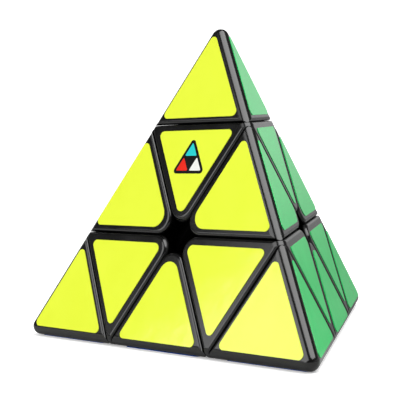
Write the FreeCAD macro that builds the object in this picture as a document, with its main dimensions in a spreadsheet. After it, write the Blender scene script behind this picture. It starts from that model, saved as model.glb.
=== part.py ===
import FreeCAD, Part
import math
import os
import Sketcher

# Pyramid twisty puzzle, in millimetres.
#
# The frame's origin is the centre of the core, where the four turning axes meet.  +Z points
# up through the top corner, and the face that looks towards -Y is the front face.
#
# Every cut of the puzzle is a plane square to one of the four axes, so each kind of piece is
# made once, at the top corner or on the edge from top to back, and is then turned into its
# other places.  A piece is what a few half-spaces leave of the whole pyramid.
#
# The middle works by nested spheres about the core's centre: the feet of the edges lie in a
# spherical shell between the core and the undersides of the axials.  There the feet of one
# layer are parted from the others by a plane square to its axis, nearer the centre than the
# cut on the outside, so that each foot reaches under its neighbours and can't be pulled out.

SHEET = "Dimensions"
DIMENSIONS = [
    ("edge_length", 105.0, "edge of the sharp tetrahedron that the faces lie on"),
    ("ridge_radius", 2.3, "rounding of the tetrahedron's six ridges"),
    ("layer_cut", 6.9, "core's centre to the plane that a whole corner layer turns on"),
    ("tip_cut", 34.95, "core's centre to the plane that a tip turns on"),
    ("layer_gap", 0.1, "gap between the outer blocks of two layers"),
    ("feet_gap", 0.5, "gap between the feet of two layers"),
    ("tip_gap", 0.05, "gap under a tip, which its plug holds down on the axial"),
    ("acute_border_radius", 0.9, "rounding of the borders of tips and edges on the faces"),
    ("obtuse_border_radius", 0.8, "rounding of the borders of axials on the faces"),
    ("axial_corner_radius", 4.4, "rounding of an axial's corners at the face centres"),
    ("edge_corner_radius", 4.5, "rounding of an edge piece's corners at the face centres"),
    ("wall", 2.0, "wall of the hollow outer shells"),
    ("centre_lip", 1.2, "wall left round the hole at a face's centre"),
    ("centre_undercut", 6.8, "radius that is cleared under that wall"),
    ("sticker_thickness", 0.15, "thickness of the vinyl stickers"),
    ("tip_sticker_ridge_margin", 2.98, "sharp ridge to the tip's sticker"),
    ("tip_sticker_margin", 1.85, "tip's cut to the tip's sticker"),
    ("axial_sticker_tip_margin", 1.68, "tip's cut to the axial's sticker"),
    ("axial_sticker_layer_margin", 2.07, "layer cut to the axial's sticker"),
    ("edge_sticker_ridge_margin", 2.6, "sharp ridge to the edge's sticker"),
    ("edge_sticker_layer_margin", 2.13, "layer cut to the edge's sticker"),
    ("sticker_corner_radius", 1.2, "rounding of a sticker's outer corners"),
    ("axial_sticker_inner_radius", 1.6, "rounding of an axial sticker's corner at the face centre"),
    ("edge_sticker_inner_radius", 3.2, "rounding of an edge sticker's corner at the face centre"),
    ("core_radius", 10.2, "ball of the core"),
    ("arm_radius", 3.3, "arms of the core"),
    ("arm_reach", 12.2, "core's centre to the end of an arm"),
    ("feet_inner_radius", 10.5, "inside of the shell that the feet turn in"),
    ("feet_outer_radius", 15.5, "outside of the shell that the feet turn in"),
    ("running_gap", 0.3, "gap between surfaces that turn on each other"),
    ("feet_cut", 2.0, "core's centre to the plane that parts a layer's feet from the others"),
    ("neck_half_width", 4.5, "half the width of an edge's neck, along its inner ridge"),
    ("neck_reach", 19.5, "core's centre to the end of the neck inside the edge's shell"),
    ("flange_radius", 10.5, "cap that backs an axial's underside"),
    ("stem_radius", 4.6, "outside of the axial's stem, between the feet"),
    ("tower_radius", 5.8, "outside of the axial's tube above its floor"),
    ("axial_bore", 3.6, "radius of the axial's bores for the arm, the spring and the tip's plug"),
    ("floor_height", 12.4, "core's centre to the underside of the axial's floor"),
    ("floor_thickness", 1.9, "floor that the spring presses on"),
    ("screw_clearance", 1.7, "radius of the screw's hole through the axial's floor"),
    ("screw_radius", 1.5, "M3 screw"),
    ("screw_start", 4.6, "core's centre to the end of a screw"),
    ("screw_point", 1.0, "length of the screw's tapered end"),
    ("screw_seat", 20.6, "core's centre to the underside of a screw's head"),
    ("screw_head_radius", 2.8, "pan head"),
    ("screw_head_height", 1.9, "pan head"),
    ("screw_head_side", 1.1, "straight side of the pan head"),
    ("screw_head_flat", 2.0, "radius of the flat top of the pan head"),
    ("recess_length", 3.2, "cross recess in the screw's head"),
    ("recess_width", 0.7, "cross recess in the screw's head"),
    ("recess_depth", 1.1, "cross recess in the screw's head"),
    ("washer_radius", 3.2, "washer between the spring and the screw's head"),
    ("washer_thickness", 0.5, "washer between the spring and the screw's head"),
    ("spring_wire", 0.7, "diameter of the spring's wire"),
    ("spring_radius", 2.5, "axis of the wire to the axis of the screw"),
    ("spring_turns", 4.5, "turns of the spring"),
    ("spring_play", 0.05, "gap between the spring and the axial's floor"),
    ("plug_radius", 3.3, "stem of the tip's plug"),
    ("plug_start", 24.6, "core's centre to the end of the tip's plug"),
    ("plug_chamfer", 0.5, "chamfer on the end of the tip's plug"),
    ("snap_height", 28.0, "core's centre to the underside of the plug's snap ring"),
    ("snap_thickness", 1.2, "snap ring on the plug"),
    ("snap_lead", 0.3, "height over which the snap ring widens"),
    ("snap_radius", 4.0, "snap ring on the plug"),
    ("snap_play", 0.4, "play of the snap ring in its groove"),
]

# Distances of the sharp tetrahedron: from the core's centre to a face, and from a face's centre
# to a ridge.
FACE_DISTANCE = "Dimensions.edge_length * sqrt(6) / 12"
RIDGE_DISTANCE = "Dimensions.edge_length * sqrt(3) / 6"
# An axis leans from a face's normal by the tetrahedral angle, with this sine and cosine.
AXIS_SINE = "sqrt(8) / 3"
AXIS_COSINE = "1 / 3"

CORNERS = {
    "top": FreeCAD.Vector(0, 0, 1),
    "left": FreeCAD.Vector(-math.sqrt(2 / 3), -math.sqrt(2) / 3, -1 / 3),
    "right": FreeCAD.Vector(math.sqrt(2 / 3), -math.sqrt(2) / 3, -1 / 3),
    "back": FreeCAD.Vector(0, math.sqrt(8) / 3, -1 / 3),
}
EDGES = [
    ("top", "left"),
    ("top", "right"),
    ("top", "back"),
    ("left", "right"),
    ("right", "back"),
    ("back", "left"),
]
# Each face is named by its colour and lies opposite one corner.
FACES = {"yellow": "back", "green": "left", "red": "right", "blue": "top"}

SMOOTH_ANGLE = math.radians(8)
TOLERANCE = 0.01

doc = FreeCAD.newDocument("PyramidPuzzle")


def fill_sheet():
    """Put each dimension in a row of the sheet, under its name."""
    sheet = doc.addObject("Spreadsheet::Sheet", SHEET)
    for row, (name, value, meaning) in enumerate(DIMENSIONS, start=1):
        sheet.set(f"A{row}", name)
        sheet.set(f"B{row}", str(value))
        sheet.set(f"C{row}", meaning)
        sheet.setAlias(f"B{row}", name)
    doc.recompute()
    return sheet


def bind(target, **expressions):
    """Bind properties to expressions on the sheet; a double underscore stands for a dot."""
    for name, expression in expressions.items():
        target.setExpression(name.replace("__", "."), expression)


def frame_of(towards, up):
    """The turn that takes +Z to `up` and +Y to the side that `towards` lies on."""
    z_axis = FreeCAD.Vector(up).normalize()
    y_axis = (towards - z_axis * towards.dot(z_axis)).normalize()
    return FreeCAD.Rotation(y_axis.cross(z_axis), y_axis, z_axis, "ZYX")


def corner_turn(corner):
    """The turn that takes the top corner, as modelled, to another corner."""
    towards = "back" if corner != "back" else "top"
    return frame_of(CORNERS[towards], CORNERS[corner])


def edge_frame(first, second):
    """The turn that takes +Z to the middle of an edge and +Y along it."""
    return frame_of(CORNERS[second] - CORNERS[first], CORNERS[first] + CORNERS[second])


def edge_turn(first, second):
    """The turn that takes the top-back edge, as modelled, to another edge."""
    return edge_frame(first, second).multiply(edge_frame("top", "back").inverted())


def placed(name, sources, turn):
    """Copies of one or more objects, turned together about the core's centre."""
    copy = doc.addObject("Part::Compound", name)
    copy.Links = sources
    copy.Placement = FreeCAD.Placement(FreeCAD.Vector(), turn)
    return copy


def slab(name, low, high):
    """A wide flat block between two heights above the core's centre, both expressions."""
    block = doc.addObject("Part::Box", name)
    half = "1.5 * Dimensions.edge_length"
    bind(
        block,
        Length=f"2 * {half}",
        Width=f"2 * {half}",
        Height=f"({high}) - ({low})",
        Placement__Base__x=f"-{half}",
        Placement__Base__y=f"-{half}",
        Placement__Base__z=low,
    )
    return block


def turned_slabs(name, block, corners):
    """One copy of a slab for each corner, square to that corner's axis."""
    return [placed(f"{name}_{corner}", [block], corner_turn(corner)) for corner in corners]


def cylinder(name, radius, low, high):
    """A cylinder on the Z axis; all three sizes are expressions."""
    rod = doc.addObject("Part::Cylinder", name)
    bind(rod, Radius=radius, Height=f"({high}) - ({low})", Placement__Base__z=low)
    return rod


def ball(name, radius):
    """A ball about the core's centre."""
    sphere = doc.addObject("Part::Sphere", name)
    bind(sphere, Radius=radius)
    return sphere


def common(name, shapes):
    """What all the shapes share."""
    result = doc.addObject("Part::MultiCommon", name)
    result.Shapes = shapes
    return result


def fused(name, shapes):
    """The shapes as one."""
    result = doc.addObject("Part::MultiFuse", name)
    result.Shapes = shapes
    return result


def cut(name, base, tools):
    """The base less the tools."""
    result = doc.addObject("Part::Cut", name)
    result.Base = base
    result.Tool = tools[0] if len(tools) == 1 else fused(f"{name}_tools", tools)
    return result


def rounded(name, base, wanted, radius):
    """The base with the wanted edges rounded; `wanted` takes an edge and the shape."""
    doc.recompute()
    numbers = [
        number
        for number, edge in enumerate(base.Shape.Edges, start=1)
        if wanted(edge, base.Shape)
    ]
    result = doc.addObject("Part::Fillet", name)
    result.Base = base
    result.Edges = [(number, radius, radius) for number in numbers]
    return result


def normal_at(face, point):
    """A face's outward normal at the point on it nearest to a point."""
    u, v = face.Surface.parameter(point)
    return face.normalAt(u, v)


def is_sharp(edge, shape):
    """Whether an edge's two faces meet at an angle."""
    middle = edge.valueAt((edge.FirstParameter + edge.LastParameter) / 2)
    faces = shape.ancestorsOfType(edge, Part.Face)
    if len(faces) != 2:
        return False
    return normal_at(faces[0], middle).getAngle(normal_at(faces[1], middle)) > SMOOTH_ANGLE


def is_slanted(edge, shape):
    """Whether an edge rises from one height to another."""
    return edge.BoundBox.ZLength > TOLERANCE


def is_inner(edge, shape):
    """Whether the middle of an edge lies nearer to the core's centre than any face does."""
    middle = edge.valueAt((edge.FirstParameter + edge.LastParameter) / 2)
    return middle.Length < evaluate(FACE_DISTANCE)


def is_outside(face):
    """Whether a surface of a piece lies on one of the pyramid's faces."""
    if not isinstance(face.Surface, Part.Plane):
        return False
    distance = abs(face.Surface.Position.dot(face.Surface.Axis))
    return abs(distance - evaluate(FACE_DISTANCE)) < TOLERANCE


def is_border(edge, shape):
    """Whether an edge parts a face of the pyramid from the side of a cut."""
    return sum(is_outside(face) for face in shape.ancestorsOfType(edge, Part.Face)) == 1


def origin_plane(body, role):
    """One of a body's own origin planes."""
    return next(item for item in body.Origin.OriginFeatures if item.Role == role)


def profile_sketch(body, name, corners):
    """A closed outline on the body's XZ plane; each corner is a pair of expressions, and a
    corner on the axis has the text 0 as its first."""
    sketch = body.newObject("Sketcher::SketchObject", name)
    sketch.AttachmentSupport = [(origin_plane(body, "XZ_Plane"), "")]
    sketch.MapMode = "FlatFace"
    guesses = [
        FreeCAD.Vector(evaluate(across), evaluate(height), 0) for across, height in corners
    ]
    for start, end in zip(guesses, guesses[1:] + guesses[:1]):
        sketch.addGeometry(Part.LineSegment(start, end), False)
    for number, (across, height) in enumerate(corners):
        before = (number - 1) % len(corners)
        sketch.addConstraint(Sketcher.Constraint("Coincident", before, 2, number, 1))
        if across == "0":
            sketch.addConstraint(Sketcher.Constraint("PointOnObject", number, 1, -2))
        else:
            pin_point(sketch, "DistanceX", number, across)
        pin_point(sketch, "DistanceY", number, height)
    return sketch


def pin_point(sketch, direction, line, expression):
    """Hold the start of a line at a distance from the sketch's origin."""
    index = sketch.addConstraint(
        Sketcher.Constraint(direction, -1, 1, line, 1, evaluate(expression))
    )
    sketch.setExpression(f"Constraints[{index}]", expression)


def evaluate(expression):
    """The value of an expression on the sheet."""
    value = sheet.evalExpression(expression)
    return float(getattr(value, "Value", value))


def revolved(name, corners):
    """A body turned about Z from an outline."""
    body = doc.addObject("PartDesign::Body", name)
    sketch = profile_sketch(body, f"{name}_profile", corners)
    turn = body.newObject("PartDesign::Revolution", f"{name}_turned")
    turn.Profile = sketch
    turn.ReferenceAxis = (sketch, ["V_Axis"])
    turn.Angle = 360
    return body


def make_pyramids():
    """The whole pyramid in one piece, sharp and with rounded ridges and corners."""
    half_space = slab("inside_face", f"-{FACE_DISTANCE}", "2 * Dimensions.edge_length")
    sharp = common("sharp_pyramid", turned_slabs("inside_face", half_space, CORNERS))
    return sharp, rounded("round_pyramid", sharp, is_sharp, sheet.ridge_radius)


def outer_block(name, zone, pyramids, border_radius):
    """What a zone leaves of the pyramid.  Its borders are rounded while the ridges are still
    sharp, so that they run out where the ridges are rounded."""
    sharp_pyramid, round_pyramid = pyramids
    sharp = common(f"{name}_sharp", [sharp_pyramid, zone])
    soft = rounded(f"{name}_soft", sharp, is_border, border_radius)
    return common(f"{name}_block", [round_pyramid, soft])


def centre_undercuts(name, neighbours):
    """What is cleared below the holes at the centres of the faces opposite some corners."""
    rod = cylinder(
        name,
        "Dimensions.centre_undercut",
        f"Dimensions.centre_lip - {FACE_DISTANCE}",
        "-Dimensions.feet_inner_radius",
    )
    return turned_slabs(name, rod, neighbours)


def make_tip(pyramids):
    """A tip as two solids: a hollow cap, and a plug that closes it and snaps into the axial."""
    low = "Dimensions.tip_cut + Dimensions.tip_gap / 2"
    above_cut = slab("above_tip_cut", low, "Dimensions.edge_length")
    block = outer_block("tip", above_cut, pyramids, sheet.acute_border_radius)
    inner_face = slab(
        "inside_tip_wall", f"Dimensions.wall - {FACE_DISTANCE}", "2 * Dimensions.edge_length"
    )
    walls = turned_slabs("inside_tip_wall", inner_face, ["left", "right", "back"])
    hollow = common("tip_hollow", [above_cut] + walls)
    plate_zone = slab("tip_plate_zone", low, f"{low} + Dimensions.wall")
    plate = common("tip_plate", [hollow, plate_zone])
    stem = revolved(
        "tip_stem",
        [
            ("0", "Dimensions.plug_start"),
            ("Dimensions.plug_radius - Dimensions.plug_chamfer", "Dimensions.plug_start"),
            ("Dimensions.plug_radius", "Dimensions.plug_start + Dimensions.plug_chamfer"),
            ("Dimensions.plug_radius", "Dimensions.snap_height"),
            ("Dimensions.snap_radius", "Dimensions.snap_height + Dimensions.snap_lead"),
            ("Dimensions.snap_radius", "Dimensions.snap_height + Dimensions.snap_thickness"),
            ("Dimensions.plug_radius", "Dimensions.snap_height + Dimensions.snap_thickness"),
            ("Dimensions.plug_radius", f"{low} + Dimensions.wall / 2"),
            ("0", f"{low} + Dimensions.wall / 2"),
        ],
    )
    cap = cut("tip_cap", block, [hollow])
    plug = fused("tip_plug", [plate, stem])
    return [cap, plug]


def make_axial(pyramids):
    """An axial as a shell and a foot, which is its stem, floor and tube in one."""
    high = "Dimensions.tip_cut - Dimensions.tip_gap / 2"
    low = "Dimensions.layer_cut + Dimensions.layer_gap / 2"
    side = "Dimensions.layer_cut - Dimensions.layer_gap / 2"
    neighbours = ["left", "right", "back"]
    between_cuts = slab("between_cuts", low, high)
    others = slab("below_layer_cut", "-Dimensions.edge_length", side)
    sides = turned_slabs("below_layer_cut", others, neighbours)
    prism = common("axial_prism", [between_cuts] + sides)
    soft_prism = rounded("axial_soft_prism", prism, is_slanted, sheet.axial_corner_radius)
    block = outer_block("axial", soft_prism, pyramids, sheet.obtuse_border_radius)

    room_between = slab("axial_room_height", f"{low} + Dimensions.wall", f"{high} - Dimensions.wall")
    room_side = slab(
        "axial_room_side", f"Dimensions.wall - {FACE_DISTANCE}", f"{side} - Dimensions.wall"
    )
    room_sides = turned_slabs("axial_room_side", room_side, neighbours)
    room = common("axial_room", [room_between] + room_sides)
    underside = "Dimensions.feet_outer_radius + Dimensions.running_gap"
    dome = ball("axial_underside", underside)
    thick_dome = ball("axial_dome", f"{underside} + Dimensions.wall")
    hollow = cut("axial_hollow", room, [thick_dome])

    flange_zone = cylinder(
        "flange_zone", "Dimensions.flange_radius", "0", "2 * Dimensions.feet_outer_radius"
    )
    flange = common("axial_flange", [thick_dome, flange_zone])
    tube_top = f"{high} - Dimensions.wall"
    tube = cylinder("axial_tube", "Dimensions.tower_radius", "Dimensions.core_radius", tube_top)
    upper = cut("axial_upper", fused("axial_flanged_tube", [flange, tube]), [dome])
    stem_rod = cylinder(
        "axial_stem_rod", "Dimensions.stem_radius", "0", f"{underside} + Dimensions.wall / 2"
    )
    inner_ball = ball("axial_stem_end", "Dimensions.core_radius + 2 * Dimensions.running_gap")
    stem = cut("axial_stem", stem_rod, [inner_ball])

    bores = [
        cylinder("arm_bore", "Dimensions.axial_bore", "0", "Dimensions.floor_height"),
        cylinder("screw_bore", "Dimensions.screw_clearance", "0", "Dimensions.edge_length"),
        cylinder(
            "spring_bore",
            "Dimensions.axial_bore",
            "Dimensions.floor_height + Dimensions.floor_thickness",
            "Dimensions.edge_length",
        ),
        cylinder(
            "snap_groove",
            "Dimensions.snap_radius + Dimensions.running_gap",
            "Dimensions.snap_height - Dimensions.snap_play",
            "Dimensions.snap_height + Dimensions.snap_thickness + Dimensions.snap_play",
        ),
    ]
    foot_solid = fused("axial_foot_solid", [upper, stem])
    foot = cut("axial_foot", foot_solid, bores)
    plug_hole = cylinder("plug_hole", "Dimensions.axial_bore", tube_top, high)
    undercuts = centre_undercuts("axial_undercut", neighbours)
    shell = cut("axial_shell", block, [dome, hollow, foot_solid, plug_hole] + undercuts)
    return shell, foot


def make_edge(pyramids):
    """The edge from top to back as two solids: a hollow shell, and a foot with its neck."""
    low = "Dimensions.layer_cut + Dimensions.layer_gap / 2"
    above_cut = slab("above_layer_cut", low, "2 * Dimensions.edge_length")
    layers = turned_slabs("above_layer_cut", above_cut, ["top", "back"])
    wedge = common("edge_wedge", layers)
    soft_wedge = rounded("edge_soft_wedge", wedge, is_inner, sheet.edge_corner_radius)
    block = outer_block("edge", soft_wedge, pyramids, sheet.acute_border_radius)

    inner_layer = slab("inside_layer_wall", f"{low} + Dimensions.wall", "2 * Dimensions.edge_length")
    inner_face = slab(
        "inside_edge_wall", f"Dimensions.wall - {FACE_DISTANCE}", "2 * Dimensions.edge_length"
    )
    room = common(
        "edge_room",
        turned_slabs("inside_layer_wall", inner_layer, ["top", "back"])
        + turned_slabs("inside_edge_wall", inner_face, ["left", "right"]),
    )

    neck_box = doc.addObject("Part::Box", "neck_box")
    bind(
        neck_box,
        Length="2 * Dimensions.neck_half_width",
        Width="Dimensions.edge_length",
        Height="Dimensions.neck_reach - Dimensions.core_radius",
        Placement__Base__x="-Dimensions.neck_half_width",
        Placement__Base__y="-Dimensions.edge_length / 2",
        Placement__Base__z="Dimensions.core_radius",
    )
    neck_zone = placed("neck_zone", [neck_box], edge_frame("top", "back"))
    neck = common("edge_neck", [wedge, neck_zone])

    shell_zone = cut(
        "feet_zone",
        ball("feet_outside", "Dimensions.feet_outer_radius"),
        [ball("feet_inside", "Dimensions.feet_inner_radius")],
    )
    own_side = slab(
        "own_feet_side", "Dimensions.feet_cut + Dimensions.feet_gap / 2", "Dimensions.edge_length"
    )
    other_side = slab(
        "other_feet_side", "-Dimensions.edge_length", "Dimensions.feet_cut - Dimensions.feet_gap / 2"
    )
    wing = common(
        "edge_wing",
        [shell_zone]
        + turned_slabs("own_feet_side", own_side, ["top", "back"])
        + turned_slabs("other_feet_side", other_side, ["left", "right"]),
    )
    foot = fused("edge_foot", [wing, neck])
    clearance_ball = ball("edge_underside", "Dimensions.feet_outer_radius + Dimensions.running_gap")
    undercuts = centre_undercuts("edge_undercut", ["left", "right"])
    shell = cut("edge_shell", block, [room, neck, clearance_ball] + undercuts)
    return [shell, foot]


def make_core():
    """The core: a ball with four arms, bored for the screws."""
    arm = cylinder("core_arm", "Dimensions.arm_radius", "0", "Dimensions.arm_reach")
    bore = cylinder(
        "core_bore", "Dimensions.screw_radius", "Dimensions.screw_start", "Dimensions.edge_length"
    )
    arms = [placed(f"core_arm_{corner}", [arm], corner_turn(corner)) for corner in CORNERS]
    bores = [placed(f"core_bore_{corner}", [bore], corner_turn(corner)) for corner in CORNERS]
    solid = fused("core_solid", [ball("core_ball", "Dimensions.core_radius")] + arms)
    return cut("core_bored", solid, bores)


def make_screw():
    """An M3 pan-head screw with a cross recess."""
    seat = "Dimensions.screw_seat"
    top = "Dimensions.screw_seat + Dimensions.screw_head_height"
    blank = revolved(
        "screw_blank",
        [
            ("0", "Dimensions.screw_start"),
            ("Dimensions.screw_radius / 2", "Dimensions.screw_start"),
            ("Dimensions.screw_radius", "Dimensions.screw_start + Dimensions.screw_point"),
            ("Dimensions.screw_radius", seat),
            ("Dimensions.screw_head_radius", seat),
            ("Dimensions.screw_head_radius", f"{seat} + Dimensions.screw_head_side"),
            ("Dimensions.screw_head_flat", top),
            ("0", top),
        ],
    )
    slots = []
    for name, along_x, along_y in [("recess_x", "length", "width"), ("recess_y", "width", "length")]:
        slot = doc.addObject("Part::Box", name)
        bind(
            slot,
            Length=f"Dimensions.recess_{along_x}",
            Width=f"Dimensions.recess_{along_y}",
            Height="Dimensions.recess_depth",
            Placement__Base__x=f"-Dimensions.recess_{along_x} / 2",
            Placement__Base__y=f"-Dimensions.recess_{along_y} / 2",
            Placement__Base__z=f"{top} - Dimensions.recess_depth",
        )
        slots.append(slot)
    return cut("screw", blank, slots)


def make_washer():
    """The washer under a screw's head."""
    low = "Dimensions.screw_seat - Dimensions.washer_thickness"
    disc = cylinder("washer_disc", "Dimensions.washer_radius", low, "Dimensions.screw_seat")
    hole = cylinder("washer_hole", "Dimensions.screw_clearance", low, "Dimensions.screw_seat")
    return cut("washer", disc, [hole])


def make_spring():
    """The spring between the axial's floor and the washer, as a wire swept along a helix."""
    floor_top = "Dimensions.floor_height + Dimensions.floor_thickness"
    low = f"{floor_top} + Dimensions.spring_wire / 2"
    high = "Dimensions.screw_seat - Dimensions.washer_thickness - Dimensions.spring_wire / 2"
    length = f"({high} - ({low}) - Dimensions.spring_play)"
    helix = doc.addObject("Part::Helix", "spring_line")
    bind(
        helix,
        Radius="Dimensions.spring_radius",
        Height=length,
        Pitch=f"{length} / Dimensions.spring_turns",
        Placement__Base__z=f"{low} + Dimensions.spring_play",
    )
    wire = doc.addObject("Part::Circle", "spring_wire_end")
    wire.Placement = FreeCAD.Placement(
        FreeCAD.Vector(), FreeCAD.Rotation(FreeCAD.Vector(1, 0, 0), 90)
    )
    bind(
        wire,
        Radius="Dimensions.spring_wire / 2",
        Placement__Base__x="Dimensions.spring_radius",
        Placement__Base__z=f"{low} + Dimensions.spring_play",
    )
    sweep = doc.addObject("Part::Sweep", "spring")
    sweep.Sections = [wire]
    sweep.Spine = (helix, [])
    sweep.Solid = True
    sweep.Frenet = True
    return sweep


def standing_edges(base, at_point):
    """Names of a sticker's short upright edges: the one at its point, or the other two."""
    names = []
    for number, edge in enumerate(base.Shape.Edges, start=1):
        upright = edge.BoundBox.DiagonalLength < edge.BoundBox.ZLength + TOLERANCE
        if upright and (abs(edge.CenterOfMass.x) < TOLERANCE) == at_point:
            names.append(f"Edge{number}")
    return names


def make_sticker(name, flat_side, point, point_radius):
    """A sticker as an equilateral triangle with rounded corners, on a face whose centre is on
    the Z axis.  Its flat side and the corner opposite lie at the given heights along Y."""
    body = doc.addObject("PartDesign::Body", name)
    sketch = body.newObject("Sketcher::SketchObject", f"{name}_outline")
    sketch.AttachmentSupport = [(origin_plane(body, "XY_Plane"), "")]
    sketch.MapMode = "FlatFace"
    bind(sketch, AttachmentOffset__Base__z=FACE_DISTANCE)
    half_side = f"abs(({point}) - ({flat_side})) / sqrt(3)"
    corners = [
        FreeCAD.Vector(evaluate(half_side), evaluate(flat_side), 0),
        FreeCAD.Vector(0, evaluate(point), 0),
        FreeCAD.Vector(-evaluate(half_side), evaluate(flat_side), 0),
    ]
    for start, end in zip(corners, corners[1:] + corners[:1]):
        sketch.addGeometry(Part.LineSegment(start, end), False)
    for line in range(3):
        sketch.addConstraint(Sketcher.Constraint("Coincident", line, 2, (line + 1) % 3, 1))
    sketch.addConstraint(Sketcher.Constraint("Symmetric", 0, 1, 2, 1, -2))
    sketch.addConstraint(Sketcher.Constraint("PointOnObject", 1, 1, -2))
    pin_point(sketch, "DistanceX", 0, half_side)
    pin_point(sketch, "DistanceY", 0, flat_side)
    pin_point(sketch, "DistanceY", 1, point)
    pad = body.newObject("PartDesign::Pad", f"{name}_pad")
    pad.Profile = sketch
    bind(pad, Length="Dimensions.sticker_thickness")
    doc.recompute()

    corner_fillet = body.newObject("PartDesign::Fillet", f"{name}_corners")
    corner_fillet.Base = (pad, standing_edges(pad, False))
    bind(corner_fillet, Radius="Dimensions.sticker_corner_radius")
    doc.recompute()
    point_fillet = body.newObject("PartDesign::Fillet", f"{name}_point")
    point_fillet.Base = (corner_fillet, standing_edges(corner_fillet, True))
    bind(point_fillet, Radius=point_radius)
    doc.recompute()
    return body


def on_face(cut_distance):
    """Where a cut square to a corner's axis meets a face, from the face's centre towards
    that corner."""
    return f"({cut_distance} - {FACE_DISTANCE} * {AXIS_COSINE}) / ({AXIS_SINE})"


def make_stickers():
    """The three shapes of sticker."""
    tip_line = on_face("Dimensions.tip_cut")
    layer_line = on_face("Dimensions.layer_cut")
    tip_flat = f"{tip_line} + Dimensions.tip_sticker_margin"
    tip_point = f"2 * ({RIDGE_DISTANCE} - Dimensions.tip_sticker_ridge_margin)"
    axial_flat = f"{tip_line} - Dimensions.axial_sticker_tip_margin"
    axial_point = f"-2 * ({layer_line} - Dimensions.axial_sticker_layer_margin)"
    edge_flat = f"{RIDGE_DISTANCE} - Dimensions.edge_sticker_ridge_margin"
    edge_point = f"2 * ({layer_line} + Dimensions.edge_sticker_layer_margin)"
    outlines = {
        "tip": (tip_flat, tip_point, "Dimensions.sticker_corner_radius"),
        "axial": (axial_flat, axial_point, "Dimensions.axial_sticker_inner_radius"),
        "edge": (edge_flat, edge_point, "Dimensions.edge_sticker_inner_radius"),
    }
    return {kind: make_sticker(f"{kind}_sticker", *outline) for kind, outline in outlines.items()}


def place_stickers(stickers):
    """A sticker of each colour on every piece that has a side on that face."""
    nodes = []
    for colour, opposite in FACES.items():
        outward = CORNERS[opposite] * -1
        for corner, direction in CORNERS.items():
            if corner == opposite:
                continue
            turn = frame_of(direction, outward)
            for kind in ("tip", "axial"):
                name = f"sticker_{colour}_{kind}_{corner}"
                nodes.append(placed(name, [stickers[kind]], turn))
        for first, second in EDGES:
            if opposite in (first, second):
                continue
            turn = frame_of(CORNERS[first] + CORNERS[second], outward)
            name = f"sticker_{colour}_edge_{first}_{second}"
            nodes.append(placed(name, [stickers["edge"]], turn))
    return nodes


def place_on_all_corners(name, source):
    """Four copies of one small part, as a single node."""
    copies = [placed(f"{name}_{corner}", [source], corner_turn(corner)) for corner in CORNERS]
    group = doc.addObject("Part::Compound", name)
    group.Links = copies
    return group


def build():
    """Make every part and return the objects that are written out."""
    pyramids = make_pyramids()
    tip = make_tip(pyramids)
    axial_shell, axial_foot = make_axial(pyramids)
    edge = make_edge(pyramids)
    nodes = [
        placed("core", [make_core()], FreeCAD.Rotation()),
        place_on_all_corners("core_screws", make_screw()),
        place_on_all_corners("spring_washers", make_washer()),
        place_on_all_corners("tension_springs", make_spring()),
    ]
    for corner in CORNERS:
        turn = corner_turn(corner)
        nodes.append(placed(f"tip_{corner}", tip, turn))
        nodes.append(placed(f"axial_shell_{corner}", [axial_shell], turn))
        nodes.append(placed(f"axial_foot_{corner}", [axial_foot], turn))
    for first, second in EDGES:
        nodes.append(placed(f"edge_{first}_{second}", edge, edge_turn(first, second)))
    return nodes + place_stickers(make_stickers())


def check(nodes):
    """Stop if any object failed or any part to be written is empty or invalid."""
    for item in doc.Objects:
        if "Invalid" in item.State or "Error" in item.State:
            raise RuntimeError(f"{item.Name} failed: {item.State}")
    for node in nodes:
        if node.Shape.isNull() or not node.Shape.isValid() or not node.Shape.Solids:
            raise RuntimeError(f"{node.Label} has no valid solid")


def write(nodes):
    """Write one STEP file for each part, named by its label."""
    os.makedirs("parts", exist_ok=True)
    for node in nodes:
        node.Shape.exportStep(f"parts/{node.Label}.step")
        print(f"{node.Label:34s} {len(node.Shape.Solids)} solid(s) {node.Shape.Volume:10.2f} mm3")


sheet = fill_sheet()
parts = build()
doc.recompute()
check(parts)
write(parts)
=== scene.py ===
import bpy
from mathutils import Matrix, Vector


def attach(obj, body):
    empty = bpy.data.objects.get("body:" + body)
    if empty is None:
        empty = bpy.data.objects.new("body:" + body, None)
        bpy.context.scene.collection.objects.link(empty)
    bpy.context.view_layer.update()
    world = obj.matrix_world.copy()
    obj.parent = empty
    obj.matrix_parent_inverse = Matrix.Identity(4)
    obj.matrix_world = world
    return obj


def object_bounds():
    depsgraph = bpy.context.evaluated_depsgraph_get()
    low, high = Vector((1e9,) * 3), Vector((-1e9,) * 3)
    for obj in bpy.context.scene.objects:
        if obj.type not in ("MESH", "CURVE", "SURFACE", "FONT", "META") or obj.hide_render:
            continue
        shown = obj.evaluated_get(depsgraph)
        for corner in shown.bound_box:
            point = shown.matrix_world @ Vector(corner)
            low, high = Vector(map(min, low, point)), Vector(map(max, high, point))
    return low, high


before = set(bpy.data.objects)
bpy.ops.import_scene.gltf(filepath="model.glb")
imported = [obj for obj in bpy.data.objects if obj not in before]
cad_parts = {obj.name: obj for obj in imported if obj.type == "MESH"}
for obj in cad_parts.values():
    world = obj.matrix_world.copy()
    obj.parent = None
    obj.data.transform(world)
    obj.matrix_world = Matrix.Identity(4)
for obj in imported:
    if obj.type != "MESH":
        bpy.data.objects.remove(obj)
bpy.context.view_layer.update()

# Looks of a pyramid twisty puzzle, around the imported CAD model.
#
# Lengths are in metres, in the CAD model's own frame: the origin is the middle of the core, +Z
# points up through the top corner, and the yellow face looks towards -Y.

import math

import bmesh
import bpy
from mathutils import Matrix, Vector

MM = 0.001

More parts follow.
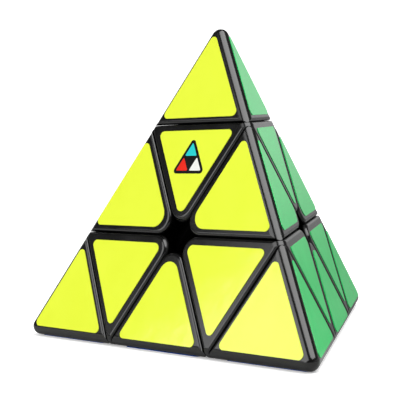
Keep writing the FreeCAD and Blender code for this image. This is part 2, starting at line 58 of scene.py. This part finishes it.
# Directions of a regular tetrahedron about the origin, as in the CAD model.
CORNERS = {
    "top": Vector((0, 0, 1)),
    "left": Vector((-math.sqrt(2 / 3), -math.sqrt(2) / 3, -1 / 3)),
    "right": Vector((math.sqrt(2 / 3), -math.sqrt(2) / 3, -1 / 3)),
    "back": Vector((0, math.sqrt(8) / 3, -1 / 3)),
}
OPPOSITE = {"yellow": "back", "green": "left", "red": "right", "blue": "top"}

# Camera
CAMERA_PLACE = Vector((211.9, -238.8, 37.1)) * MM
CAMERA_AIM = Vector((-6.0, -4.2, 14.7)) * MM
CAMERA_ROLL = math.radians(-2.5)
CAMERA_LENS = 108.2
SENSOR_WIDTH = 36.0
CLIP_START = 0.01
CLIP_END = 100

# Depth below the nearest face at which a wall counts as hidden, and where that begins.
FACE_DISTANCE = 105 * MM * math.sqrt(6) / 12
SHOWN_DEPTH = 1.0 * MM
HIDDEN_DEPTH = 1.6 * MM
# Round the hole in the middle of each face it begins higher up.
HOLE_RISE = 0.5 * MM
HOLE_FROM = 27 * MM
HOLE_TO = 32 * MM
# The pyramid's rounded corners lie deeper than that, but further out.
CORNERS_FROM = 50 * MM
CORNERS_TO = 53 * MM

# Plastic: lump sizes of its flow marks and grain, and the depth and strength of their bumps.
# Walls deep inside the cuts are rougher, and their specular level drops there as painted shade.
FLOW_SIZE = 6 * MM
FLOW_STRETCH = (1, 1, 0.35)
FLOW_DEPTH = 0.02 * MM
FLOW_STRENGTH = 0.3
GRAIN_SIZE = 0.25 * MM
GRAIN_DEPTH = 0.01 * MM
GRAIN_STRENGTH = 0.12
HIDDEN_ROUGHNESS = 0.8
PAINTED_SHADE_SPECULAR = 0.05
SHOWN_SPECULAR = 0.5
PLASTIC_IOR = 1.54

# Vinyl: lump sizes of its colour clouds, handling marks, slack and orange peel
CLOUD_SIZE = 9 * MM
MARK_SIZE = 5 * MM
SLACK_SIZE = 7 * MM
SLACK_DEPTH = 0.06 * MM
PEEL_SIZE = 0.9 * MM
PEEL_DEPTH = 0.01 * MM
PEEL_STRENGTH = 0.08
VINYL_SHINE = (0.09, 0.12)
VINYL_IOR = 1.5

# Steel
STREAK_SIZE = 0.4 * MM
STREAK_DEPTH = 0.01 * MM
STREAK_STRENGTH = 0.3
TARNISH_SIZE = 2.0 * MM

# The part of a noise's range that holds nearly all of its values
NOISE_LOW = 0.3
NOISE_HIGH = 0.7

# Studio: each softbox is (direction it shines from, its upright axis, distance, width, height,
# radiance)
UP = Vector((0, 0, 1))
KEY_UPRIGHT = Vector((0.744, 0.129, 0.657))
SOFTBOXES = {
    "key_softbox": (Vector((-0.206, -0.890, 0.407)), KEY_UPRIGHT, 1.3, 0.98, 1.50, 3.1),
    "top_softbox": (Vector((0.48, 0.06, 0.88)), UP, 1.3, 1.2, 1.2, 5.0),
    "rear_softbox": (Vector((-0.75, 0.50, 0.45)), UP, 1.3, 0.9, 0.9, 3.0),
}
# Brightness of the surround, and of what the camera sees of it
SKY_FRONT = 0.10
SKY_BACK = 0.65
SKY_BELOW = 0.40
SKY_ABOVE = 0.12
SKY_SEEN = 1.5
# Where the surround changes: along the direction's Y from front to back, and along its Z
SKY_TURN = (-0.6, 0.6)
SKY_RISE = (0.15, 0.40)
SKY_HORIZON = (-0.04, 0.10)
# The floor's colours are pairs, between which its fibres vary: as the camera sees it, and as
# other rays find it in front of the puzzle and behind it.
FLOOR_RADIUS = 0.5
FLOOR_SEGMENTS = 96
FLOOR_ROUGHNESS = 0.9
FLOOR_TURN = (-0.02, 0.04)
FLOOR_CLEARANCE = 0.02 * MM
FIBRE_SIZE = 3 * MM
FLOOR_SEEN = ((0.90, 0.90, 0.90), (0.93, 0.93, 0.93))
FLOOR_GLOW = 0.30
FLOOR_MIRRORED = ((0.50, 0.50, 0.50), (0.54, 0.54, 0.54))
# Painted shadow: the colour other rays find behind the puzzle, darker where the puzzle's shadow falls.
FLOOR_PAINTED_SHADOW = ((0.16, 0.16, 0.16), (0.18, 0.18, 0.18))

# The Mix node's colour sockets
MIX_FIRST = 6
MIX_SECOND = 7
MIX_RESULT = 2


# ---------------------------------------------------------------------------------------------- nodes


def add_node(tree, kind, **settings):
    """A new node of that kind, with these properties set."""
    node = tree.nodes.new(kind)
    for name, value in settings.items():
        setattr(node, name, value)
    return node


def new_material(name):
    """(material, node tree, principled shader) of a new material."""
    material = bpy.data.materials.new(name)
    material.use_nodes = True
    tree = material.node_tree
    return material, tree, tree.nodes["Principled BSDF"]


def noise(tree, size, detail=3.0, stretch=(1, 1, 1)):
    """The factor of a noise whose lumps are about size metres across, fixed to the object."""
    coordinates = add_node(tree, "ShaderNodeTexCoord")
    mapping = add_node(tree, "ShaderNodeMapping")
    mapping.inputs["Scale"].default_value = [share / size for share in stretch]
    texture = add_node(tree, "ShaderNodeTexNoise")
    texture.inputs["Scale"].default_value = 1.0
    texture.inputs["Detail"].default_value = detail
    tree.links.new(coordinates.outputs["Object"], mapping.inputs["Vector"])
    tree.links.new(mapping.outputs["Vector"], texture.inputs["Vector"])
    return texture.outputs["Fac"]


def spread(tree, factor, low, high):
    """Stretches a noise factor over low to high."""
    node = add_node(tree, "ShaderNodeMapRange")
    node.inputs["From Min"].default_value = NOISE_LOW
    node.inputs["From Max"].default_value = NOISE_HIGH
    node.inputs["To Min"].default_value = low
    node.inputs["To Max"].default_value = high
    tree.links.new(factor, node.inputs["Value"])
    return node.outputs["Result"]


def blend_colours(tree, factor, first, second):
    """A colour between two others, by factor; each is three numbers or a socket."""
    node = add_node(tree, "ShaderNodeMix", data_type="RGBA")
    for socket, colour in ((MIX_FIRST, first), (MIX_SECOND, second)):
        if isinstance(colour, tuple):
            node.inputs[socket].default_value = (*colour, 1)
        else:
            tree.links.new(colour, node.inputs[socket])
    tree.links.new(factor, node.inputs["Factor"])
    return node.outputs[MIX_RESULT]


def smooth_step(tree, value, low, high, start, end):
    """A smooth change from start to end as value goes from low to high."""
    fade = add_node(tree, "ShaderNodeMapRange", interpolation_type="SMOOTHSTEP")
    tree.links.new(value, fade.inputs["Value"])
    fade.inputs["From Min"].default_value = low
    fade.inputs["From Max"].default_value = high
    fade.inputs["To Min"].default_value = start
    fade.inputs["To Max"].default_value = end
    return fade.outputs["Result"]


def fade_into(tree, factor, first, second):
    """A number between two others, by factor; first can be a socket."""
    node = add_node(tree, "ShaderNodeMapRange")
    tree.links.new(factor, node.inputs["Value"])
    node.inputs["To Max"].default_value = second
    if isinstance(first, float):
        node.inputs["To Min"].default_value = first
    else:
        tree.links.new(first, node.inputs["To Min"])
    return node.outputs["Result"]


def recess_shade_mask(tree):
    """0 on the pyramid's faces and ridges, and 1 on walls deep inside its cuts: the mask of the
    painted shade in the cuts.
    """
    coordinates = add_node(tree, "ShaderNodeTexCoord")
    nearest = None
    for corner in CORNERS.values():
        along = add_node(tree, "ShaderNodeVectorMath", operation="DOT_PRODUCT")
        tree.links.new(coordinates.outputs["Object"], along.inputs[0])
        along.inputs[1].default_value = -corner
        distance = along.outputs["Value"]
        if nearest is not None:
            larger = add_node(tree, "ShaderNodeMath", operation="MAXIMUM")
            tree.links.new(nearest, larger.inputs[0])
            tree.links.new(distance, larger.inputs[1])
            distance = larger.outputs["Value"]
        nearest = distance
    reach = add_node(tree, "ShaderNodeVectorMath", operation="LENGTH")
    tree.links.new(coordinates.outputs["Object"], reach.inputs[0])
    rise = smooth_step(tree, reach.outputs["Value"], HOLE_FROM, HOLE_TO, HOLE_RISE, 0)
    height = add_node(tree, "ShaderNodeMath", operation="SUBTRACT")
    tree.links.new(nearest, height.inputs[0])
    tree.links.new(rise, height.inputs[1])
    limits = (FACE_DISTANCE - HIDDEN_DEPTH, FACE_DISTANCE - SHOWN_DEPTH)
    deep = smooth_step(tree, height.outputs["Value"], *limits, 1, 0)
    inner = smooth_step(tree, reach.outputs["Value"], CORNERS_FROM, CORNERS_TO, 1, 0)
    both = add_node(tree, "ShaderNodeMath", operation="MULTIPLY")
    tree.links.new(deep, both.inputs[0])
    tree.links.new(inner, both.inputs[1])
    return both.outputs["Value"]


def bump(tree, height, depth, strength=1.0, under=None):
    """A bump of that depth in metres, on top of the one under it."""
    node = add_node(tree, "ShaderNodeBump")
    node.inputs["Strength"].default_value = strength
    node.inputs["Distance"].default_value = depth
    tree.links.new(height, node.inputs["Height"])
    if under is not None:
        tree.links.new(under, node.inputs["Normal"])
    return node.outputs["Normal"]


# ------------------------------------------------------------------------------------------- materials


def moulded_plastic(name, dark, light, shine):
    """Injection-moulded plastic: a fine eroded grain, faint flow marks and a sheen that varies.
    Walls deep inside the cuts are rougher, and their specular level is turned down as painted shade."""
    material, tree, shader = new_material(name)
    flow = noise(tree, FLOW_SIZE, detail=4, stretch=FLOW_STRETCH)
    grain = noise(tree, GRAIN_SIZE, detail=2)
    hidden = recess_shade_mask(tree)
    colour = blend_colours(tree, spread(tree, flow, 0, 1), dark, light)
    tree.links.new(colour, shader.inputs["Base Color"])
    roughness = fade_into(tree, hidden, spread(tree, flow, *shine), HIDDEN_ROUGHNESS)
    tree.links.new(roughness, shader.inputs["Roughness"])
    # Painted shade: the specular level falls on walls deep inside the cuts, so that they read black.
    specular = fade_into(tree, hidden, SHOWN_SPECULAR, PAINTED_SHADE_SPECULAR)
    tree.links.new(specular, shader.inputs["Specular IOR Level"])
    waves = bump(tree, flow, FLOW_DEPTH, FLOW_STRENGTH)
    eroded = bump(tree, grain, GRAIN_DEPTH, GRAIN_STRENGTH, under=waves)
    tree.links.new(eroded, shader.inputs["Normal"])
    shader.inputs["IOR"].default_value = PLASTIC_IOR
    return material


def vinyl(name, dark, light):
    """Glossy printed vinyl: nearly even colour, not quite flat, with a slight orange peel and
    fine handling marks."""
    material, tree, shader = new_material(name)
    cloud = noise(tree, CLOUD_SIZE, detail=2)
    peel = noise(tree, PEEL_SIZE, detail=2)
    marks = noise(tree, MARK_SIZE, detail=4)
    colour = blend_colours(tree, spread(tree, cloud, 0, 1), dark, light)
    tree.links.new(colour, shader.inputs["Base Color"])
    tree.links.new(spread(tree, marks, *VINYL_SHINE), shader.inputs["Roughness"])
    slack = bump(tree, noise(tree, SLACK_SIZE, detail=2), SLACK_DEPTH)
    peeled = bump(tree, peel, PEEL_DEPTH, PEEL_STRENGTH, under=slack)
    tree.links.new(peeled, shader.inputs["Normal"])
    shader.inputs["IOR"].default_value = VINYL_IOR
    return material


def metal(name, dark, light, shine, streak):
    """Drawn or turned steel with fine streaks."""
    material, tree, shader = new_material(name)
    streaks = noise(tree, STREAK_SIZE, detail=4, stretch=streak)
    tarnish = noise(tree, TARNISH_SIZE)
    colour = blend_colours(tree, spread(tree, tarnish, 0, 1), dark, light)
    tree.links.new(colour, shader.inputs["Base Color"])
    tree.links.new(spread(tree, streaks, *shine), shader.inputs["Roughness"])
    streaked = bump(tree, streaks, STREAK_DEPTH, STREAK_STRENGTH)
    tree.links.new(streaked, shader.inputs["Normal"])
    shader.inputs["Metallic"].default_value = 1.0
    return material


# Each plastic and metal is (dark colour, light colour, roughness range), and a metal also has the
# stretch of its streaks. Each vinyl and ink is (dark colour, light colour).
PLASTICS = {
    "black_abs": ((0.0012, 0.0012, 0.0012), (0.0028, 0.0028, 0.0028), (0.15, 0.20)),
    "core_plastic": ((0.010, 0.010, 0.011), (0.020, 0.020, 0.021), (0.40, 0.52)),
}
METALS = {
    "steel": ((0.42, 0.42, 0.43), (0.60, 0.60, 0.61), (0.22, 0.36), (1, 1, 1)),
    "spring_steel": ((0.25, 0.25, 0.26), (0.42, 0.41, 0.40), (0.26, 0.42), (1, 1, 0.3)),
}
VINYLS = {
    "yellow_vinyl": ((0.740, 0.850, 0.046), (0.755, 0.865, 0.052)),
    "green_vinyl": ((0.006, 0.670, 0.140), (0.009, 0.700, 0.150)),
    "red_vinyl": ((0.600, 0.020, 0.022), (0.650, 0.026, 0.026)),
    "blue_vinyl": ((0.010, 0.080, 0.420), (0.014, 0.095, 0.470)),
    "black_ink": ((0.006, 0.006, 0.006), (0.010, 0.010, 0.010)),
    "teal_ink": ((0.020, 0.560, 0.560), (0.026, 0.600, 0.590)),
    "red_ink": ((0.720, 0.020, 0.010), (0.760, 0.026, 0.014)),
    "white_ink": ((0.780, 0.780, 0.740), (0.820, 0.820, 0.780)),
}


def make_materials():
    """Every material by name."""
    kinds = ((moulded_plastic, PLASTICS), (metal, METALS), (vinyl, VINYLS))
    return {
        name: make(name, *settings) for make, table in kinds for name, settings in table.items()
    }


def material_of_node(name):
    """The name of the material that a CAD node is made of."""
    if name.startswith("sticker_"):
        return name.split("_")[1] + "_vinyl"
    if name in ("core_screws", "spring_washers"):
        return "steel"
    if name == "tension_springs":
        return "spring_steel"
    return "core_plastic" if name == "core" else "black_abs"


def dress_nodes(materials):
    """Gives every CAD node its material."""
    for name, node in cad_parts.items():
        node.data.materials.clear()
        node.data.materials.append(materials[material_of_node(name)])


# --------------------------------------------------------------------------------------------- emblem

EMBLEM_FACE = "sticker_yellow_axial_top"
EMBLEM_BODY = "axial_top"
EMBLEM_UP = 19.5 * MM
EMBLEM_RADIUS = 6.6 * MM
EMBLEM_INNER = 0.80
EMBLEM_GAP = 0.10
EMBLEM_CORNER = 0.9 * MM
CORNER_STEPS = 6
INK_LIFT = 0.02 * MM
INK_THICKNESS = 0.02 * MM


def face_frame(colour):
    """A matrix whose Z looks out of that face, Y climbs it and origin is on its sticker's surface."""
    out = -CORNERS[OPPOSITE[colour]]
    up = (CORNERS["top"] - CORNERS["top"].dot(out) * out).normalized()
    across = up.cross(out)
    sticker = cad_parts[EMBLEM_FACE].data.vertices
    height = max(vertex.co.dot(out) for vertex in sticker)
    matrix = Matrix((across, up, out)).transposed().to_4x4()
    matrix.translation = out * height
    return matrix


def triangle(radius, centre=(0, 0), turn=0.0):
    """The three corners of an equal-sided triangle, point up before it is turned."""
    return [
        Vector((centre[0] + radius * math.cos(a), centre[1] + radius * math.sin(a)))
        for a in (math.radians(90 + 120 * k) + turn for k in range(3))
    ]


def rounded_outline(corners, radius):
    """The outline with each corner replaced by an arc."""
    points = []
    for k, corner in enumerate(corners):
        before = (corners[k - 1] - corner).normalized()
        after = (corners[(k + 1) % len(corners)] - corner).normalized()
        half = before.angle(after) / 2
        middle = corner + (before + after).normalized() * radius / math.sin(half)
        start = corner + before * radius / math.tan(half) - middle
        sweep = math.pi - 2 * half
        for step in range(CORNER_STEPS + 1):
            turned = Matrix.Rotation(sweep * step / CORNER_STEPS, 2) @ start
            points.append(middle + turned)
    return points


def printed_plate(mesh, outline, low, high, slot):
    """Adds a plate of ink with that outline between two heights to a bmesh."""
    bottom = [mesh.verts.new((p.x, p.y, low)) for p in outline]
    top = [mesh.verts.new((p.x, p.y, high)) for p in outline]
    faces = [mesh.faces.new(list(reversed(bottom))), mesh.faces.new(top)]
    count = len(outline)
    for k in range(count):
        following = (k + 1) % count
        side = (bottom[k], bottom[following], top[following], top[k])
        faces.append(mesh.faces.new(side))
    for face in faces:
        face.material_index = slot


def make_emblem(materials):
    """A generic pictogram of a divided triangle, printed on the top piece's yellow sticker."""
    mesh = bmesh.new()
    ground = rounded_outline(triangle(EMBLEM_RADIUS), EMBLEM_CORNER)
    printed_plate(mesh, ground, -INK_THICKNESS, INK_LIFT, 0)
    inner = EMBLEM_RADIUS * EMBLEM_INNER
    small = inner / 2
    for slot, direction in enumerate(triangle(small), start=1):
        outline = rounded_outline(triangle(small * (1 - EMBLEM_GAP), direction), EMBLEM_CORNER / 4)
        printed_plate(mesh, outline, INK_LIFT, INK_LIFT + INK_THICKNESS, slot)
    data = bpy.data.meshes.new("emblem")
    bmesh.ops.recalc_face_normals(mesh, faces=mesh.faces)
    mesh.to_mesh(data)
    mesh.free()
    for name in ("black_ink", "teal_ink", "red_ink", "white_ink"):
        data.materials.append(materials[name])
    emblem = bpy.data.objects.new("emblem", data)
    bpy.context.scene.collection.objects.link(emblem)
    emblem.matrix_world = face_frame("yellow") @ Matrix.Translation((0, EMBLEM_UP, 0))
    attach(emblem, EMBLEM_BODY)


# --------------------------------------------------------------------------------------------- studio


def look_along(direction):
    """The rotation that turns a camera or light to look along direction."""
    return direction.to_track_quat("-Z", "Y")


def make_camera():
    """The camera, at the viewing angle of the picture."""
    data = bpy.data.cameras.new("camera")
    data.lens = CAMERA_LENS
    data.sensor_width = SENSOR_WIDTH
    data.clip_start = CLIP_START
    data.clip_end = CLIP_END
    camera = bpy.data.objects.new("camera", data)
    bpy.context.scene.collection.objects.link(camera)
    turn = look_along(CAMERA_AIM - CAMERA_PLACE).to_matrix() @ Matrix.Rotation(CAMERA_ROLL, 3, "Z")
    camera.matrix_world = Matrix.Translation(CAMERA_PLACE) @ turn.to_4x4()
    bpy.context.scene.camera = camera


def make_softbox(name, direction, upright, distance, width, height, radiance):
    """A soft rectangular light that shines on the origin, with its height along `upright`."""
    data = bpy.data.lights.new(name, "AREA")
    data.shape = "RECTANGLE"
    data.size = width
    data.size_y = height
    data.energy = radiance * math.pi * width * height
    light = bpy.data.objects.new(name, data)
    bpy.context.scene.collection.objects.link(light)
    back = direction.normalized()
    across = upright.cross(back).normalized()
    turn = Matrix((across, back.cross(across), back)).transposed().to_4x4()
    light.matrix_world = Matrix.Translation(back * distance) @ turn
    light.visible_camera = False


def make_sky():
    """A white surround, brightest at the horizon behind the puzzle and dim from below."""
    world = bpy.data.worlds.new("sky")
    bpy.context.scene.world = world
    world.use_nodes = True
    tree = world.node_tree
    tree.nodes.clear()
    coordinates = add_node(tree, "ShaderNodeTexCoord")
    axes = add_node(tree, "ShaderNodeSeparateXYZ")
    rear = add_node(tree, "ShaderNodeMath", operation="MULTIPLY")
    total = add_node(tree, "ShaderNodeMath", operation="ADD")
    light = add_node(tree, "ShaderNodeMath", operation="MULTIPLY")
    surround = add_node(tree, "ShaderNodeBackground")
    seen = add_node(tree, "ShaderNodeBackground")
    path = add_node(tree, "ShaderNodeLightPath")
    choice = add_node(tree, "ShaderNodeMixShader")
    output = add_node(tree, "ShaderNodeOutputWorld")
    for background in (surround, seen):
        background.inputs["Color"].default_value = (1, 1, 1, 1)
    seen.inputs["Strength"].default_value = SKY_SEEN
    links = tree.links
    links.new(coordinates.outputs["Generated"], axes.inputs["Vector"])
    links.new(smooth_step(tree, axes.outputs["Y"], *SKY_TURN, 0, 1), rear.inputs[0])
    links.new(smooth_step(tree, axes.outputs["Z"], *SKY_RISE, SKY_BACK, SKY_ABOVE), rear.inputs[1])
    links.new(rear.outputs["Value"], total.inputs[0])
    links.new(smooth_step(tree, axes.outputs["Y"], *SKY_TURN, SKY_FRONT, 0), total.inputs[1])
    links.new(total.outputs["Value"], light.inputs[0])
    links.new(smooth_step(tree, axes.outputs["Z"], *SKY_HORIZON, SKY_BELOW, 1), light.inputs[1])
    links.new(light.outputs["Value"], surround.inputs["Strength"])
    links.new(path.outputs["Is Camera Ray"], choice.inputs["Fac"])
    links.new(surround.outputs["Background"], choice.inputs[1])
    links.new(seen.outputs["Background"], choice.inputs[2])
    links.new(choice.outputs["Shader"], output.inputs["Surface"])


def make_floor_paper():
    """White paper, which throws less light back at the puzzle than it shows, least from behind, where
    that darker colour is a painted shadow of the puzzle.
    """
    material, tree, seen = new_material("floor_paper")
    mirrored = add_node(tree, "ShaderNodeBsdfPrincipled")
    path = add_node(tree, "ShaderNodeLightPath")
    choice = add_node(tree, "ShaderNodeMixShader")
    fibres = spread(tree, noise(tree, FIBRE_SIZE), 0, 1)
    coordinates = add_node(tree, "ShaderNodeTexCoord")
    axes = add_node(tree, "ShaderNodeSeparateXYZ")
    tree.links.new(coordinates.outputs["Object"], axes.inputs["Vector"])
    lit, shaded = (blend_colours(tree, fibres, *ends) for ends in (FLOOR_MIRRORED, FLOOR_PAINTED_SHADOW))
    # Painted shadow of the puzzle: behind it, other rays find the floor darker.
    behind = smooth_step(tree, axes.outputs["Y"], *FLOOR_TURN, 0, 1)
    thrown = blend_colours(tree, behind, lit, shaded)
    tree.links.new(blend_colours(tree, fibres, *FLOOR_SEEN), seen.inputs["Base Color"])
    tree.links.new(thrown, mirrored.inputs["Base Color"])
    seen.inputs["Emission Color"].default_value = (1, 1, 1, 1)
    seen.inputs["Emission Strength"].default_value = FLOOR_GLOW
    for shader in (seen, mirrored):
        shader.inputs["Roughness"].default_value = FLOOR_ROUGHNESS
    tree.links.new(path.outputs["Is Camera Ray"], choice.inputs["Fac"])
    tree.links.new(mirrored.outputs["BSDF"], choice.inputs[1])
    tree.links.new(seen.outputs["BSDF"], choice.inputs[2])
    tree.links.new(choice.outputs["Shader"], tree.nodes["Material Output"].inputs["Surface"])
    return material


def make_floor():
    """A plain pale disc, a hair below the puzzle so that their faces don't coincide."""
    mesh = bmesh.new()
    bmesh.ops.create_circle(mesh, cap_ends=True, segments=FLOOR_SEGMENTS, radius=FLOOR_RADIUS)
    data = bpy.data.meshes.new("floor")
    mesh.to_mesh(data)
    mesh.free()
    data.materials.append(make_floor_paper())
    floor = bpy.data.objects.new("floor", data)
    bpy.context.scene.collection.objects.link(floor)
    floor.location.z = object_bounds()[0].z - FLOOR_CLEARANCE


def main():
    """Dresses the puzzle and sets up the studio."""
    materials = make_materials()
    dress_nodes(materials)
    make_emblem(materials)
    make_camera()
    for name, settings in SOFTBOXES.items():
        make_softbox(name, *settings)
    make_sky()
    make_floor()
    bpy.context.scene.view_settings.view_transform = "Standard"


main()
